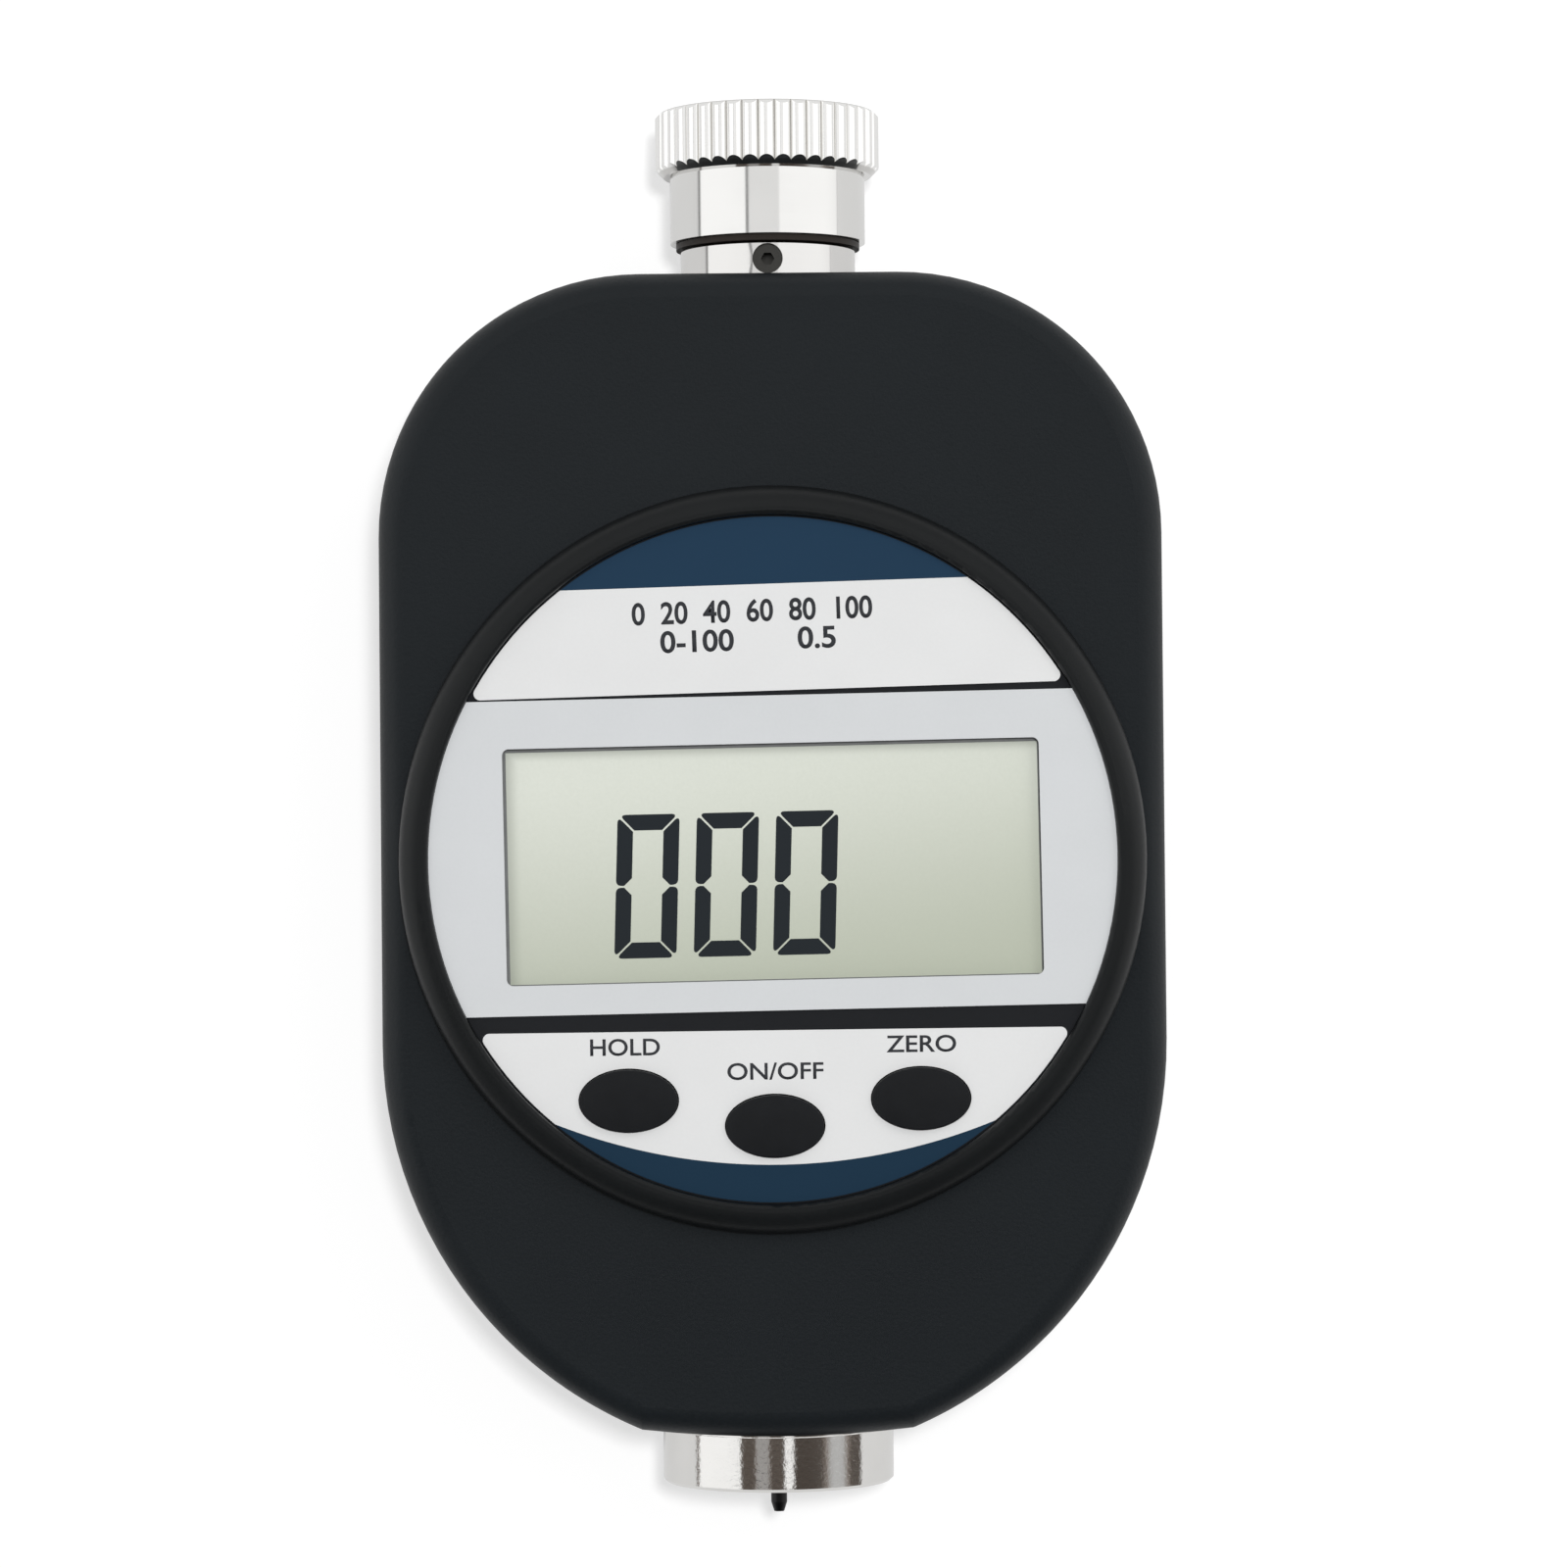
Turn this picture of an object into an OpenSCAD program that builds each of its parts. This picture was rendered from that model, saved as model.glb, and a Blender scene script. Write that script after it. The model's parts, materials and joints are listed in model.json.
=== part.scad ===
// Digital durometer: a hand-held hardness gauge, lying on its back.
// +X is to the right of the face, +Y runs along the measuring axis towards the knob, +Z rises out of
// the face. The origin is on the back plane, under the centre of the dial. Millimetres.

/* [Dial] */
// Diameter of the round face seen inside the ring
face_d = 52.4; // [48:0.2:56]
// Width of the raised ring round the face
ring_rim = 2.3; // [1.8:0.1:2.8]
// Height of the ring above the front of the case
ring_rise = 3; // [2.6:0.1:3.6]
// Rounding of the ring's outer shoulder
ring_round = 1.7; // [0.8:0.1:1.8]
// Rounding of the ring's inner edge
ring_lip_round = 0.3; // [0.1:0.1:0.4]
// Wall of the ring's skirt inside the case
skirt_wall = 0.7; // [0.5:0.1:1]
// Air between the ring's skirt and the side walls of the case
skirt_air = 0.7; // [0.3:0.1:1.2]
// Width of the ledge that carries the dial plate and the circuit board
ledge_w = 1.3; // [1:0.1:1.6]
// Depth of the labels below the top of the ring
face_sink = 0.8; // [0.5:0.1:1.2]
// Thickness of the dial plate
plate_t = 0.9; // [0.8:0.1:1.6]

/* [Labels and display panel] */
// Thickness of the printed labels
label_t = 0.2; // [0.1:0.05:0.3]
// Bare margin between the labels and the ring
label_margin = 0.15; // [0.1:0.05:0.8]
// Corner radius of the labels
label_corner = 0.5; // [0.4:0.1:1]
// Distance from the dial centre to the straight edge of the upper label
upper_label_edge = 12.8; // [12.7:0.1:14]
// Turn of the upper label as it was laid
upper_label_turn = 1.4; // [0:0.1:1.5]
// Distance from the dial centre to the straight edge of the lower label
lower_label_edge = 13; // [12:0.1:14]
// Turn of the lower label as it was laid
lower_label_turn = 0.2; // [0:0.1:1]
// Thickness of the display panel
panel_t = 0.3; // [0.25:0.05:0.6]
// Distance from the dial centre to the upper edge of the display panel
panel_upper = 12.45; // [11:0.05:12.5]
// Distance from the dial centre to the lower edge of the display panel
panel_lower = 11.5; // [11:0.1:12]
// Turn of the display panel as it was laid
panel_turn = 0.8; // [0:0.1:1]
// Width of the display window
window_w = 40.8; // [36:0.2:42]
// Height of the display window
window_h = 18; // [14:0.2:18.4]
// Distance of the window's centre below the dial centre
window_drop = 0.2; // [0:0.1:0.5]
// Corner radius of the window
window_corner = 0.5; // [0.2:0.1:1]
// Step from the window in the panel to the opening in the plate behind it
window_step = 0.25; // [0.1:0.05:0.4]

/* [Display and circuit board] */
// Border of the display glass hidden behind the plate
lcd_border = 1.15; // [0.6:0.05:1.3]
// Thickness of the display glass
lcd_t = 1.8; // [1.4:0.1:2.2]
// Height of the rubber connector strips
zebra_h = 2; // [1.6:0.1:2.4]
// Thickness of a connector strip
zebra_w = 2; // [1.5:0.1:2.4]
// Distance from the end of a connector strip to the end of the glass
zebra_inset = 3; // [2:0.5:5]
// Thickness of the circuit board
board_t = 1; // [0.8:0.1:1.6]
// Radius of the circle that the board screws lie on
board_screw_ring = 23.8; // [23.4:0.1:24]
// Angle of the upper board screws above the horizontal
upper_board_angle = 55; // [50:1:60]
// Angle of the lower board screws below the horizontal
lower_board_angle = 35; // [33:1:37]
// Shank diameter of a board screw
board_screw_d = 1.6; // [1.4:0.1:2]
// Head diameter of a board screw
board_screw_head_d = 3; // [2.6:0.1:3.2]
// Head height of a board screw
board_screw_head_h = 1; // [0.8:0.1:1.2]
// Length of a board screw inside its boss
board_screw_grip = 2.6; // [2:0.1:3]
// Diameter of a board screw boss
board_boss_d = 3.6; // [3.2:0.1:3.8]
// Side of the controller chip
chip_w = 9; // [7:0.5:10]
// Height of the controller chip
chip_h = 1.4; // [1:0.1:1.6]
// Distance of the chip from the measuring axis
chip_x = 15; // [14:0.5:16]
// Distance of the chip above the dial centre
chip_y = 8; // [6:0.5:9]

/* [Keys] */
// Width of a key
key_w = 7.45; // [7:0.05:8]
// Height of a key
key_h = 4.7; // [4.4:0.1:5]
// Height of a key above the label
key_proud = 0.9; // [0.7:0.1:1.2]
// Radius of a key's crowned top
key_crown_r = 16; // [12:1:24]
// Gap round a key in its hole
key_gap = 0.1; // [0.1:0.05:0.25]
// Width of the flange that keeps a key in its hole
key_flange = 0.4; // [0.3:0.05:0.45]
// Thickness of the key flange
key_flange_t = 0.8; // [0.6:0.1:1]
// Diameter of a key's stem
key_stem_d = 2.4; // [2:0.1:3]
// Travel of a key
key_travel = 0.5; // [0.3:0.05:0.6]
// Distance of the outer keys from the centre line
outer_key_x = 11.1; // [10:0.1:11.2]
// Distance of the outer keys below the dial centre
outer_key_drop = 18.25; // [17:0.05:18.4]
// Distance of the middle key below the dial centre
middle_key_drop = 20.25; // [19.5:0.05:21]
// Diameter of the snap dome under a key
dome_d = 5; // [4:0.1:5.4]
// Height of the snap dome
dome_h = 0.6; // [0.4:0.05:0.7]

/* [Case] */
// Distance from the dial centre to the top of the case
case_top = 45.1; // [42:0.1:50]
// Distance from the dial centre to the lowest point of the case
case_bottom = 44.25; // [43:0.05:48]
// Thickness of the case from back to front
case_t = 21; // [20.6:0.1:24]
// Radius of the upper corners
corner_r = 20.2; // [14:0.1:24]
// Distance below the dial centre at which the sides start to close in
flank_start = 14; // [10:0.5:16]
// Width of the flat land at the lower end
land_w = 20.8; // [18.6:0.2:22]
// Bulge of that land
land_crown = 0.6; // [0.3:0.1:1]
// Thickness of the side walls
wall = 2.5; // [2:0.1:3.2]
// Thickness of the front wall
front_wall = 2.5; // [2:0.1:3]
// Rounding of the front edge
front_round = 2; // [1:0.1:2.4]
// Rounding of the back edge
back_round = 0.8; // [0.4:0.1:1.1]
// Half width of the two blocks that carry the foot and the neck
block_half_w = 10.5; // [10:0.1:11]
// Length of the block that carries the foot
foot_block = 8.1; // [7.5:0.1:9]
// Length of the block that carries the neck
neck_block = 9; // [8:0.1:10]

/* [Back cover] */
// Thickness of the back cover
cover_t = 2.2; // [2:0.1:2.6]
// Width of the case rim left round the cover
cover_rim = 1.3; // [1.2:0.05:1.6]
// Gap round the cover
cover_gap = 0.12; // [0.05:0.01:0.2]
// Air between the cover and the blocks of the case
cover_air = 0.3; // [0.2:0.05:0.5]
// Shank diameter of a cover screw
cover_screw_d = 2; // [1.6:0.1:2.5]
// Head diameter of a cover screw
cover_screw_head_d = 3.8; // [3.6:0.1:4.2]
// Depth of a cover screw's countersunk head
cover_screw_head_h = 1.1; // [1:0.1:1.3]
// Width of the arms of a cover screw's cross recess
cross_w = 0.5; // [0.4:0.05:0.7]
// Length of that cross recess
cross_len = 2.5; // [2:0.1:2.8]
// Depth of that cross recess
cross_depth = 0.55; // [0.3:0.05:0.7]
// Length of a cover screw
cover_screw_len = 9; // [7:0.5:11]
// Diameter of a cover screw boss
cover_boss_d = 6; // [5:0.1:6.4]
// Air between a cover screw boss and the dial opening
cover_boss_air = 5.6; // [4:0.1:6]
// Angle of the upper cover screws above the horizontal
upper_screw_angle = 56; // [50:1:60]
// Angle of the lower cover screws below the horizontal
lower_screw_angle = 64; // [60:1:66]
// Depth of a screw head below the back plane
head_sink = 0.1; // [0.05:0.05:0.2]

/* [Battery] */
// Diameter of the button cell
cell_d = 11.6; // [10:0.1:12]
// Thickness of the button cell
cell_t = 5.4; // [3.6:0.1:5.6]
// Height of the cell's raised button
cell_button_h = 0.5; // [0.3:0.1:0.8]
// Step from the cell's rim in to its button
cell_button_step = 1; // [0.6:0.1:1.4]
// Distance of the cell from the measuring axis
cell_x = 14.5; // [14:0.1:15]
// Gap round the cell in its cup
cell_gap = 0.15; // [0.1:0.05:0.3]
// Wall of the cell cup
cup_wall = 1.2; // [0.8:0.1:1.4]
// Width of the battery cap's rim outside the cup opening
cap_rim = 2.4; // [2.2:0.1:2.8]
// Depth of the cap's seat in the cover
cap_seat = 1.2; // [1:0.05:1.3]
// Depth of the cap's outer face below the back plane
cap_sink = 0.1; // [0.05:0.05:0.15]
// Running gap round the cap
cap_gap = 0.1; // [0.05:0.01:0.15]
// Reach of the cap's two locking lugs
lug_reach = 0.7; // [0.5:0.05:0.8]
// Thickness of a lug
lug_t = 0.8; // [0.6:0.1:1]
// Angle that a lug covers
lug_angle = 36; // [24:1:40]
// Turn that unlocks the cap
cap_turn = 60; // [50:1:70]
// Angle by which a lug's notch is wider than the lug
notch_slack = 6; // [4:1:8]
// Width of the coin slot
coin_slot_w = 1.7; // [1.4:0.1:2]
// Length of the coin slot
coin_slot_len = 9; // [7:0.5:10]
// Depth of the coin slot
coin_slot_depth = 1; // [0.6:0.1:1.2]
// Thickness of the sealing ring
seal_t = 0.4; // [0.3:0.05:0.5]
// Width of the sealing ring
seal_w = 1; // [0.6:0.1:1.2]
// Thickness of the contact strip
contact_t = 0.4; // [0.2:0.05:0.5]
// Width of the contact strip where it rises to the board
contact_w = 3; // [2:0.1:4]

/* [Measuring spindle] */
// Diameter of the spindle
spindle_d = 4; // [3.6:0.1:4.4]
// Diameter of the indenter
indenter_d = 1.25; // [1.2:0.01:1.3]
// Diameter of the flat at the indenter's tip
indenter_tip_d = 0.79; // [0.7:0.01:0.9]
// Cone angle of the indenter's tip
indenter_cone = 35; // [30:0.5:40]
// Length of the indenter outside the foot
indenter_out = 2.5; // [2:0.1:3]
// Depth of the indenter's socket in the spindle
indenter_socket = 4; // [3:0.5:6]
// Diameter of the stop collar
collar_d = 9; // [8:0.5:10]
// Length of the stop collar
collar_len = 3; // [2:0.5:4]
// Length of the scale carrier
carrier_len = 28; // [24:1:30]
// Diameter of the carrier's hub
carrier_hub_d = 7; // [6.4:0.1:8]
// Thickness of the arm that reaches the guide rod
carrier_arm_t = 4; // [3.6:0.2:5]
// Length of that arm along the rod
carrier_arm_len = 9; // [6:0.5:12]
// Distance from the spindle to the guide rod
guide_x = 8; // [7.6:0.1:8.2]
// Diameter of the guide rod
guide_d = 2; // [1.6:0.1:2.2]
// Depth of the guide rod in the blocks
guide_grip = 3; // [2:0.5:4]
// Width of the scale strip
strip_w = 8; // [6:0.5:9]
// Thickness of the scale strip
strip_t = 0.8; // [0.6:0.1:1]
// Air between the scale strip and the sensor plate
strip_air = 0.2; // [0.1:0.05:0.3]
// Width of the sensor plate
sensor_w = 12; // [10:0.5:14]
// Length of the sensor plate
sensor_len = 34; // [30:1:36]
// Thickness of the sensor plate
sensor_t = 0.8; // [0.6:0.1:1]
// Wall of the two spindle bushes
bush_wall = 1.4; // [1:0.1:1.5]
// Length of the two spindle bushes
bush_len = 6; // [5:0.5:7]

/* [Measuring spring] */
// Diameter of the spring wire
wire_d = 0.9; // [0.7:0.05:1]
// Air between the spring and the spindle
spring_air = 0.55; // [0.4:0.05:0.6]
// Turns of the spring
spring_turns = 9; // [7:1:11]
// Slot width in the spring adjuster
adjuster_slot_w = 1.2; // [1:0.1:1.6]
// Slot depth in the spring adjuster
adjuster_slot_depth = 1.2; // [1:0.1:1.6]
// Length of the spring adjuster
adjuster_len = 9.6; // [9:0.1:10.5]

/* [Presser foot] */
// Diameter of the presser foot
foot_d = 18; // [17:0.1:18.2]
// Distance that the foot stands out of the case
foot_out = 4.3; // [3.5:0.05:5]
// Depth of the foot's seat in the case
foot_seat = 1; // [0.8:0.1:1.4]
// Step from the foot's rim in to its register in the case
foot_step = 0.3; // [0.25:0.05:0.4]
// Gap round the foot in its seat
foot_gap = 0.12; // [0.08:0.01:0.2]
// Diameter of the hole in the foot's face
foot_hole_d = 3; // [2.5:0.1:3.2]
// Thickness of the foot's face
foot_web = 2.5; // [2:0.1:3]
// Diameter of the foot's spigot
foot_spigot_d = 11; // [10:0.1:11.6]
// Chamfer of the foot's edges
foot_chamfer = 0.25; // [0.1:0.05:0.5]

/* [Neck and knob] */
// Diameter of the neck
neck_d = 13.7; // [13:0.1:14.4]
// Height of the neck above the case
neck_h = 2.7; // [2.4:0.05:3.5]
// Diameter of the neck's spigot in the case
neck_spigot_d = 12; // [11:0.1:12.6]
// Bore of the neck
neck_bore_d = 8.4; // [8.2:0.1:8.6]
// Diameter of the threaded stem under the knob
stem_d = 10.6; // [10:0.1:11]
// Length of the stem inside the knob
stem_len = 5; // [4:0.1:6]
// Chamfer of the neck's edge
neck_chamfer = 0.15; // [0.1:0.05:0.4]
// Diameter of the grub screw
grub_d = 2.3; // [1.8:0.1:2.3]
// Height of the grub screw above the case
grub_rise = 1.35; // [1.25:0.05:1.5]
// Depth of the grub screw below the neck's surface
grub_sink = 0.3; // [0.1:0.1:0.6]
// Width across the flats of the grub screw's socket
grub_socket = 0.9; // [0.7:0.1:1.1]
// Depth of the grub screw's socket
grub_socket_depth = 1.1; // [0.6:0.1:1.4]
// Thickness of the washer under the knob
washer_t = 0.55; // [0.4:0.05:0.8]
// Diameter of that washer
washer_d = 14.4; // [12.6:0.1:14.5]
// Diameter of the knob's smooth skirt
knob_skirt_d = 15.3; // [14.6:0.1:16]
// Height of the knob's skirt
knob_skirt_h = 5.25; // [4.5:0.05:6]
// Diameter of the knob's fluted head
knob_d = 17.6; // [16.8:0.1:19]
// Height of the fluted head
knob_head_h = 4.95; // [4:0.05:6]
// Ribs round the fluted head
knob_ribs = 42; // [36:1:46]
// Radius of a rib
knob_rib_r = 0.69; // [0.66:0.01:0.74]
// Bevel at the lower edge of the head
knob_low_bevel = 0.65; // [0.4:0.05:1]
// Bevel at the upper edge of the head
knob_top_bevel = 0.35; // [0.2:0.05:0.6]
// Undercut between the skirt and the head
knob_undercut = 0.2; // [0.1:0.05:0.3]
// Height of that undercut
knob_undercut_h = 0.15; // [0.1:0.05:0.5]
// Air over the stem inside the knob
knob_air = 0.4; // [0.3:0.1:0.8]

/* [Fits] */
// Radial gap of a running fit
run_gap = 0.04; // [0.02:0.01:0.08]
// Radial gap of a pressed or screwed fit
press_gap = 0.02; // [0.01:0.01:0.03]
// Gap between faces that rest on each other and move
seat_gap = 0.04; // [0.02:0.01:0.08]

/* [Hidden] */
$fn = 96;
// Length by which cutters run past the faces they cut
over = 1;

// Radii of the dial, from the face outwards
face_r = face_d / 2;
ring_r = face_r + ring_rim;
shoulder_r = min(ring_round, ring_rim - 2 * ring_lip_round);
ledge_r = face_r - ledge_w;
skirt_r = face_r + skirt_wall;
opening_r = skirt_r + press_gap;
plate_r = face_r - press_gap;
label_r = face_r - label_margin;

// Heights, from the top of the ring down to the measuring axis
ring_top = case_t + ring_rise;
plate_top = ring_top - face_sink - label_t;
label_top = plate_top + label_t;
plate_low = plate_top - plate_t;
lcd_low = plate_low - lcd_t;
board_top = lcd_low - zebra_h;
board_low = board_top - board_t;
sensor_low = board_low - sensor_t;
strip_top = sensor_low - strip_air;
carrier_top = strip_top - strip_t;
axis_z = case_t / 2;

// Case outline: straight sides, round upper corners, two large flanks and a crowned land
half_w = skirt_r + skirt_air + wall;
corner_x = half_w - corner_r;
corner_y = case_top - corner_r;
land_half = land_w / 2;
flank_in = half_w - land_half;
flank_drop = case_bottom - land_crown - flank_start;
flank_r = (flank_drop * flank_drop + flank_in * flank_in) / (2 * flank_in);
flank_x = half_w - flank_r;
crown_r = (land_half * land_half + land_crown * land_crown) / (2 * land_crown);
front_inside = case_t - front_wall;

// Places of the screws and keys
cover_screw_ring = opening_r + cover_boss_air + cover_boss_d / 2;
cover_screw_angles = [
    upper_screw_angle, 180 - upper_screw_angle, 180 + lower_screw_angle, -lower_screw_angle
];
board_screw_angles = [
    upper_board_angle, 180 - upper_board_angle, 180 + lower_board_angle, -lower_board_angle
];
outer_key_y = -outer_key_drop;
middle_key_y = -middle_key_drop;
key_places = [[-outer_key_x, outer_key_y], [0, middle_key_y], [outer_key_x, outer_key_y]];

// Display glass behind the window
lcd_w = window_w + 2 * lcd_border;
lcd_h = window_h + 2 * lcd_border;

// Places along the measuring axis, from the foot to the knob
spindle_r = spindle_d / 2;
foot_r = foot_d / 2;
register_r = foot_r - foot_step;
foot_rim_top = -case_bottom - foot_gap;
foot_seat_y = foot_seat - case_bottom;
foot_low = -case_bottom - foot_out;
foot_top = foot_block - case_bottom;
foot_floor = foot_low + foot_web;
bush_r = spindle_r + bush_wall;
spindle_low = foot_floor + indenter_out / 2;
indenter_tip = foot_low - indenter_out;
indenter_top = spindle_low + indenter_socket;
collar_low = foot_top + seat_gap;
carrier_half = carrier_len / 2;
neck_low = case_top - neck_block;
shoulder = case_top + neck_h;
knob_low = shoulder + washer_t;
stem_top = knob_low + stem_len;
adjuster_top = shoulder - seat_gap;
adjuster_low = adjuster_top - adjuster_len;
adjuster_r = neck_bore_d / 2 - press_gap;
upper_bush_top = adjuster_top - adjuster_slot_depth;
spindle_top = upper_bush_top;
spring_r = spindle_r + spring_air + wire_d / 2;
spring_low = carrier_half;
spring_len = adjuster_low - spring_low;
grub_y = case_top + grub_rise;

// Battery well in the back cover
cell_r = cell_d / 2;
well_r = cell_r + cell_gap;
cap_neck_r = well_r - cap_gap;
lug_r = cap_neck_r + lug_reach;
channel_r = lug_r + cap_gap;
notch_r = lug_r + cap_gap / 2;
notch_angle = lug_angle + notch_slack;
cup_r = channel_r + cup_wall;
cap_r = well_r + cap_rim;
cap_disc_top = cap_seat - seal_t;
lug_low = cover_t + cap_gap;
cap_top = lug_low + lug_t + cap_gap;
channel_top = cap_top + cap_gap;
cell_low = cap_top + seat_gap;
cup_top = max(cell_low + cell_t + seat_gap, channel_top + cup_wall);

// Edge of the case in section: reach outwards, thickness upwards, both outer edges rounded
module edge_section(reach) {
    band = min(front_round, back_round) / 2;
    translate([0, back_round]) square([reach, case_t - front_round - back_round]);
    square([reach - back_round, back_round + band]);
    translate([0, case_t - front_round - band]) square([reach - front_round, front_round + band]);
    translate([reach - back_round, back_round]) circle(back_round);
    translate([reach - front_round, case_t - front_round]) circle(front_round);
}

// Solid body of the case, swept round its outline from that section
module case_body() {
    for (side = [0, 1]) mirror([side, 0, 0]) {
        translate([0, corner_y, 0]) rotate([90, 0, 0])
            linear_extrude(corner_y + flank_start) edge_section(half_w);
        translate([corner_x, corner_y, 0]) rotate_extrude(angle = 90) edge_section(corner_r);
    }
    translate([-corner_x, corner_y, 0]) rotate([90, 0, 90])
        linear_extrude(2 * corner_x) edge_section(corner_r);
    intersection() {
        union() {
            for (side = [0, 1]) mirror([side, 0, 0])
                translate([flank_x, -flank_start, 0]) rotate([0, 0, -90])
                    rotate_extrude(angle = 90) edge_section(flank_r);
            translate([-land_half, -case_bottom, 0])
                cube([land_w, case_bottom - flank_start, case_t]);
        }
        translate([0, crown_r - case_bottom, 0]) rotate_extrude() edge_section(crown_r);
    }
}

// The same outline, flat, set in by a distance
module case_outline(inset) {
    half = half_w - inset;
    translate([-half, -flank_start]) square([2 * half, flank_start + corner_y]);
    translate([-corner_x, corner_y]) square([2 * corner_x, corner_r - inset]);
    for (side = [-1, 1]) translate([side * corner_x, corner_y]) circle(corner_r - inset);
    intersection() {
        difference() {
            translate([-half, -case_bottom]) square([2 * half, case_bottom - flank_start]);
            for (side = [0, 1]) mirror([side, 0]) difference() {
                translate([flank_x, -2 * case_bottom])
                    square([half_w + flank_r, 2 * case_bottom - flank_start]);
                translate([flank_x, -flank_start]) circle(flank_r - inset);
            }
        }
        translate([0, crown_r - case_bottom]) circle(crown_r - inset);
    }
}

// Places a shape with its height along the measuring axis, from y towards the knob
module on_axis(y) translate([0, y, axis_z]) rotate([-90, 0, 0]) children();

// A plain rod along the measuring axis
module axis_rod(from, to, r) on_axis(from) cylinder(h = to - from, r = r);

// A turned piece on the measuring axis: its profile is radius against height above y
module turned(y, profile) on_axis(y) rotate_extrude() polygon(profile);

// A tube on the measuring axis
module axis_tube(from, to, outer, inner) {
    difference() {
        axis_rod(from, to, outer);
        axis_rod(from - over, to + over, inner);
    }
}

// Places a shape at each angle on a circle
module round_pattern(r, angles) {
    for (angle = angles) translate([r * cos(angle), r * sin(angle), 0]) children();
}

// Rectangle with round corners
module round_rect(w, h, r) {
    square([w - 2 * r, h], center = true);
    square([w, h - 2 * r], center = true);
    for (x = [-1, 1]) for (y = [-1, 1])
        translate([x * (w / 2 - r), y * (h / 2 - r)]) circle(r);
}

// Oval of a key, grown all round
module oval(grow) scale([key_w / 2 + grow, key_h / 2 + grow]) circle(1);

// Part of the face beyond a straight edge, with that edge's corners rounded
module label_outline(edge) {
    round_y = edge + label_corner;
    round_x = sqrt(pow(label_r - label_corner, 2) - round_y * round_y);
    meet_y = round_y * label_r / (label_r - label_corner);
    intersection() {
        circle(label_r);
        translate([-label_r, meet_y]) square([2 * label_r, label_r]);
    }
    translate([-round_x, edge]) square([2 * round_x, meet_y - edge]);
    for (side = [-1, 1]) translate([side * round_x, round_y]) circle(label_corner);
}

// The display window and what lies behind it share one place and turn
module at_window() rotate(panel_turn) translate([0, -window_drop]) children();

// Block inside the case, round the measuring axis
module inner_block(from, to) {
    intersection() {
        translate([-block_half_w, from, cover_t + cover_air])
            cube([2 * block_half_w, to - from, front_inside + front_wall / 2 - cover_t - cover_air]);
        linear_extrude(case_t) case_outline(wall / 2);
    }
}

// Black moulded housing, open at the back
module case() color("#2a2d30") {
    difference() {
        union() {
            difference() {
                case_body();
                translate([0, 0, -over]) linear_extrude(cover_t + over) case_outline(cover_rim);
                linear_extrude(front_inside) case_outline(wall);
            }
            inner_block(-case_bottom, foot_top);
            inner_block(neck_low, case_top);
            round_pattern(cover_screw_ring, cover_screw_angles)
                translate([0, 0, cover_t])
                    cylinder(h = front_inside + front_wall / 2 - cover_t, d = cover_boss_d);
        }
        translate([0, 0, front_inside - over]) cylinder(h = front_wall + 2 * over, r = opening_r);
        round_pattern(cover_screw_ring, cover_screw_angles)
            cylinder(h = cover_screw_len + head_sink, d = cover_screw_d + 2 * press_gap);
        axis_rod(-case_bottom - over, foot_top + over, foot_spigot_d / 2 + press_gap);
        axis_rod(-case_bottom - over, foot_seat_y, register_r + foot_gap);
        axis_rod(neck_low - over, case_top + over, neck_spigot_d / 2 + press_gap);
        translate([-guide_x, 0, 0])
            axis_rod(foot_top - guide_grip, neck_low + guide_grip, guide_d / 2 + press_gap);
    }
}

// Flat cover let into the back, with the cup for the cell
module back_cover() color("#25282b") {
    difference() {
        union() {
            linear_extrude(cover_t) case_outline(cover_rim + cover_gap);
            translate([cell_x, 0, 0]) cylinder(h = cup_top, r = cup_r);
        }
        round_pattern(cover_screw_ring, cover_screw_angles) {
            translate([0, 0, -over]) cylinder(h = cover_t + 2 * over, d = cover_screw_d + 2 * press_gap);
            translate([0, 0, head_sink]) cylinder(
                h = cover_screw_head_h, d1 = cover_screw_head_d + 2 * press_gap, d2 = cover_screw_d);
            translate([0, 0, -over]) cylinder(h = over + head_sink, d = cover_screw_head_d + 2 * press_gap);
        }
        translate([cell_x, 0, 0]) {
            translate([0, 0, -over]) cylinder(h = cap_seat + over, r = cap_r + cap_gap);
            translate([0, 0, -over]) cylinder(h = cup_top + 2 * over, r = well_r);
            translate([0, 0, cover_t]) cylinder(h = channel_top - cover_t, r = channel_r);
            for (turn = [0, 180]) rotate(turn - cap_turn - notch_angle / 2)
                rotate_extrude(angle = notch_angle)
                    translate([cell_r, 0]) square([notch_r - cell_r, lug_low + lug_t / 2]);
        }
    }
}

// Countersunk screws of the back cover
module cover_screws() color("#8c8f92") round_pattern(cover_screw_ring, cover_screw_angles) {
    difference() {
        translate([0, 0, head_sink]) {
            cylinder(h = cover_screw_len - press_gap, d = cover_screw_d);
            cylinder(h = cover_screw_head_h, d1 = cover_screw_head_d, d2 = cover_screw_d - press_gap);
        }
        for (turn = [0, 90]) rotate(turn) translate([-cross_len / 2, -cross_w / 2, head_sink - over])
            cube([cross_len, cross_w, over + cross_depth]);
    }
}

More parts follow.
